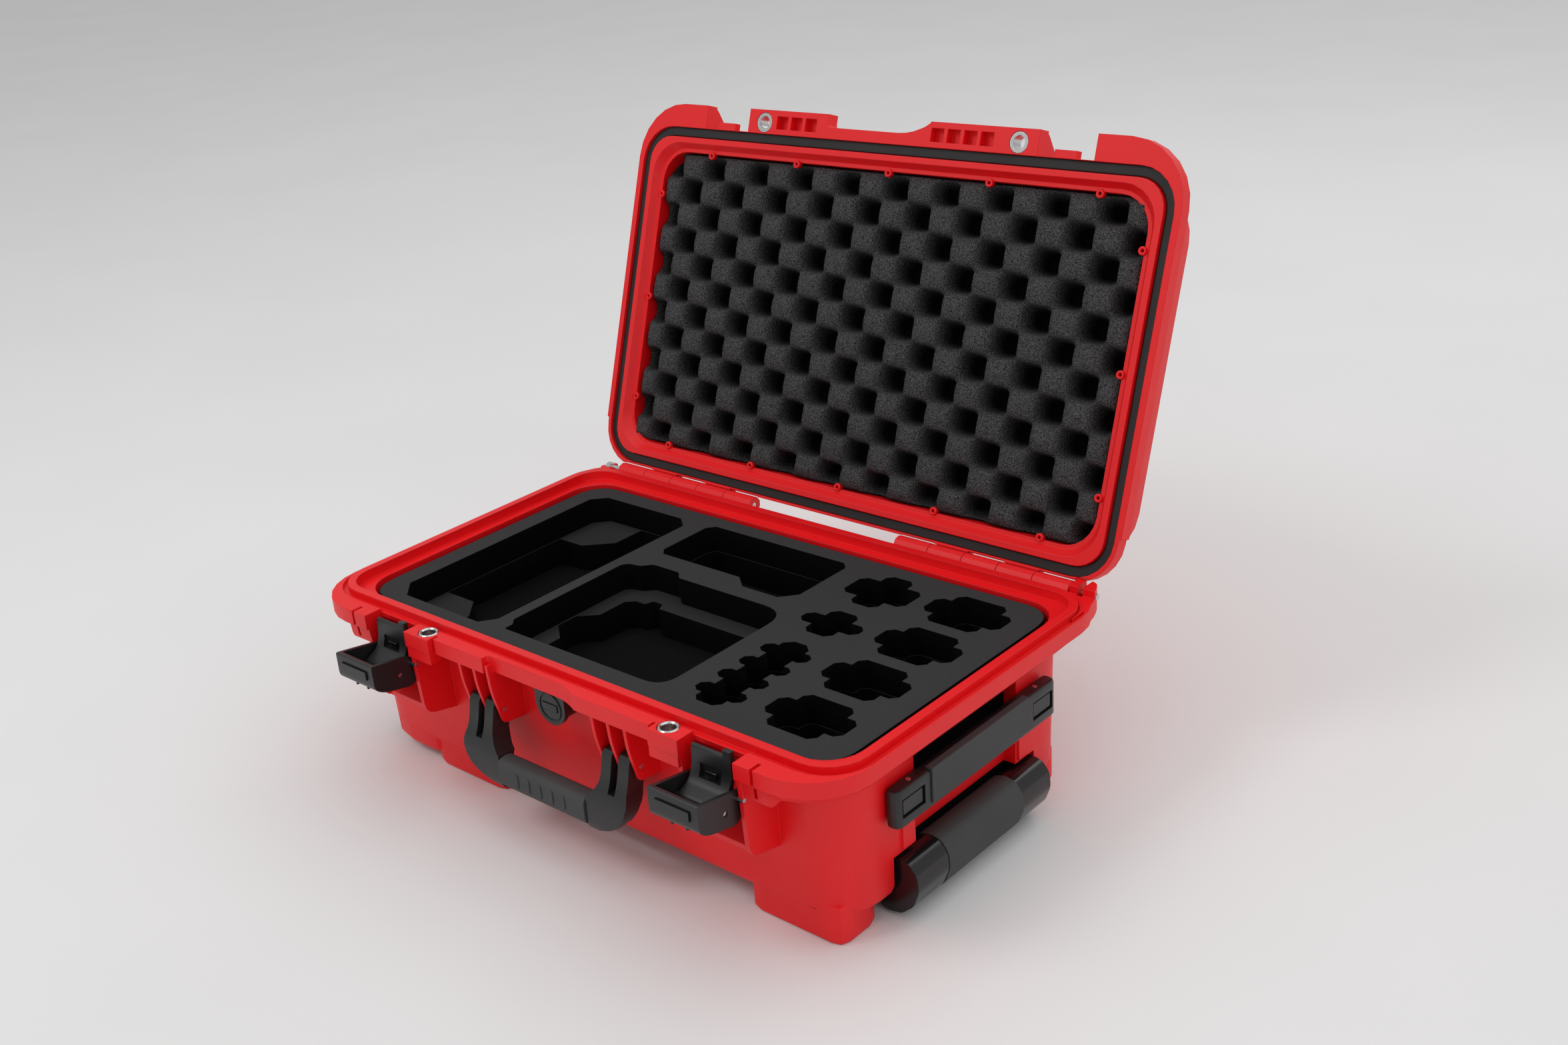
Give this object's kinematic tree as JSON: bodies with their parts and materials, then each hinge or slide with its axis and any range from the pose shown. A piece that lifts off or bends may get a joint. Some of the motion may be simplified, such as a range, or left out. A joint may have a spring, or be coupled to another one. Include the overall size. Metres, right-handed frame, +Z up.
{
  "type": "drone carrying case",
  "caption": "Wheeled red hard case with a hinged gasketed lid, claw latches, carry and trolley handles, and cut foam pockets for a drone, batteries and controller.",
  "frame": {"origin": "on the floor under the middle of the base, midway between the end walls and between the front and back walls", "axes": "+X to the end with the trolley handle, -Y to the front with the latches, +Z up"},
  "size_m": [0.5563, 0.5388, 0.4766],
  "materials": {
    "red_shell": "fine texture, satin",
    "steel": "turned",
    "black_plastic": "satin",
    "gloss_black": "gloss",
    "grip_rubber": "matt overmould",
    "seal_rubber": "matt",
    "tyre": "matt",
    "aluminium": "anodised",
    "grey_foam": "open cell foam",
    "black_foam": "closed cell foam"
  },
  "bodies": {
    "case_base": {"base_shell": "red_shell", "hinge_pin_left": "steel", "hinge_pin_right": "steel", "valve_body": "black_plastic", "valve_face": "black_plastic", "foam_bottom": "black_foam", "foam_middle_strip_1": "black_foam", "foam_middle_strip_2": "black_foam", "foam_middle_strip_3": "black_foam", "foam_middle_strip_4": "black_foam", "foam_top_strip_1": "grey_foam", "foam_top_strip_2": "grey_foam", "foam_top_strip_3": "grey_foam", "foam_top_strip_4": "grey_foam", "trolley_housing": "black_plastic", "base_bushing_left": "steel", "base_bushing_right": "steel", "latch_left_pin_a": "steel", "latch_left_pin_b": "steel", "latch_right_pin_a": "steel", "latch_right_pin_b": "steel", "handle_pin_left": "steel", "handle_pin_right": "steel", "wheel_front_axle": "steel", "wheel_rear_axle": "steel"},
    "lid": {"lid_shell": "red_shell", "lid_gasket": "seal_rubber", "lid_foam": "grey_foam", "lid_bushing_left": "steel", "lid_bushing_right": "steel"},
    "front_handle": {"handle_frame": "black_plastic", "handle_grip": "grip_rubber"},
    "side_handle": {"side_handle": "black_plastic", "side_handle_grip": "grip_rubber", "side_handle_post_front": "black_plastic", "side_handle_pin_front": "steel", "side_handle_post_rear": "black_plastic", "side_handle_pin_rear": "steel"},
    "trolley_middle": {"trolley_middle_tube_front": "aluminium", "trolley_middle_tube_rear": "aluminium"},
    "trolley_handle": {"trolley_grip": "gloss_black", "trolley_sleeve": "grip_rubber", "trolley_inner_tube_front": "aluminium", "trolley_inner_tube_rear": "aluminium"},
    "trolley_release": {"trolley_button": "gloss_black"},
    "wheel_front": {"wheel_front_tyre": "tyre", "wheel_front_hub": "black_plastic"},
    "wheel_rear": {"wheel_rear_tyre": "tyre", "wheel_rear_hub": "black_plastic"},
    "latch_left_lever": {"latch_left_lever": "black_plastic", "latch_left_claw_pin": "steel"},
    "latch_left_claw": {"latch_left_claw": "black_plastic"},
    "latch_left_release": {"latch_left_release": "black_plastic"},
    "latch_right_lever": {"latch_right_lever": "black_plastic", "latch_right_claw_pin": "steel"},
    "latch_right_claw": {"latch_right_claw": "black_plastic"},
    "latch_right_release": {"latch_right_release": "black_plastic"}
  },
  "joints": [
    {"name": "lid_hinge", "type": "hinge", "parent": "case_base", "child": "lid", "pos_m": [0, 0.166, 0.152], "axis": [1, 0, 0], "range_deg": [0, 108.5]},
    {"name": "front_handle_hinge", "type": "hinge", "parent": "case_base", "child": "front_handle", "pos_m": [0, -0.16, 0.105], "axis": [-1, 0, 0], "range_deg": [0, 100]},
    {"name": "side_handle_slide", "type": "slide", "parent": "case_base", "child": "side_handle", "axis": [1, 0, 0], "range_m": [0, 0.012]},
    {"name": "trolley_middle_slide", "type": "slide", "parent": "case_base", "child": "trolley_middle", "axis": [1, 0, 0], "range_m": [0, 0.2]},
    {"name": "trolley_handle_slide", "type": "slide", "parent": "trolley_middle", "child": "trolley_handle", "axis": [1, 0, 0], "range_m": [0, 0.19]},
    {"name": "trolley_release_press", "type": "slide", "parent": "trolley_handle", "child": "trolley_release", "axis": [-1, 0, 0], "range_m": [0, 0.002], "stiffness_N_per_m": 500},
    {"name": "wheel_front_spin", "type": "hinge", "parent": "case_base", "child": "wheel_front", "pos_m": [-0.252, -0.1, 0.026], "axis": [0, 1, 0], "continuous": true},
    {"name": "wheel_rear_spin", "type": "hinge", "parent": "case_base", "child": "wheel_rear", "pos_m": [-0.252, 0.1, 0.026], "axis": [0, 1, 0], "continuous": true},
    {"name": "latch_left_lever_hinge", "type": "hinge", "parent": "case_base", "child": "latch_left_lever", "pos_m": [-0.17425, -0.172, 0.123], "axis": [-1, 0, 0], "range_deg": [0, 78]},
    {"name": "latch_left_claw_hinge", "type": "hinge", "parent": "latch_left_lever", "child": "latch_left_claw", "pos_m": [-0.17425, -0.185, 0.117], "axis": [-1, 0, 0], "range_deg": [-78, 0]},
    {"name": "latch_left_release_press", "type": "slide", "parent": "latch_left_lever", "child": "latch_left_release", "axis": [0, 1, 0], "range_m": [0, 0.003], "stiffness_N_per_m": 500},
    {"name": "latch_right_lever_hinge", "type": "hinge", "parent": "case_base", "child": "latch_right_lever", "pos_m": [0.17425, -0.172, 0.123], "axis": [-1, 0, 0], "range_deg": [0, 78]},
    {"name": "latch_right_claw_hinge", "type": "hinge", "parent": "latch_right_lever", "child": "latch_right_claw", "pos_m": [0.17425, -0.185, 0.117], "axis": [-1, 0, 0], "range_deg": [-78, 0]},
    {"name": "latch_right_release_press", "type": "slide", "parent": "latch_right_lever", "child": "latch_right_release", "axis": [0, 1, 0], "range_m": [0, 0.003], "stiffness_N_per_m": 500}
  ],
  "couplings": [
    {"joint": "latch_left_claw_hinge", "follows": "latch_left_lever_hinge", "ratio": -1},
    {"joint": "latch_right_claw_hinge", "follows": "latch_right_lever_hinge", "ratio": -1}
  ]
}
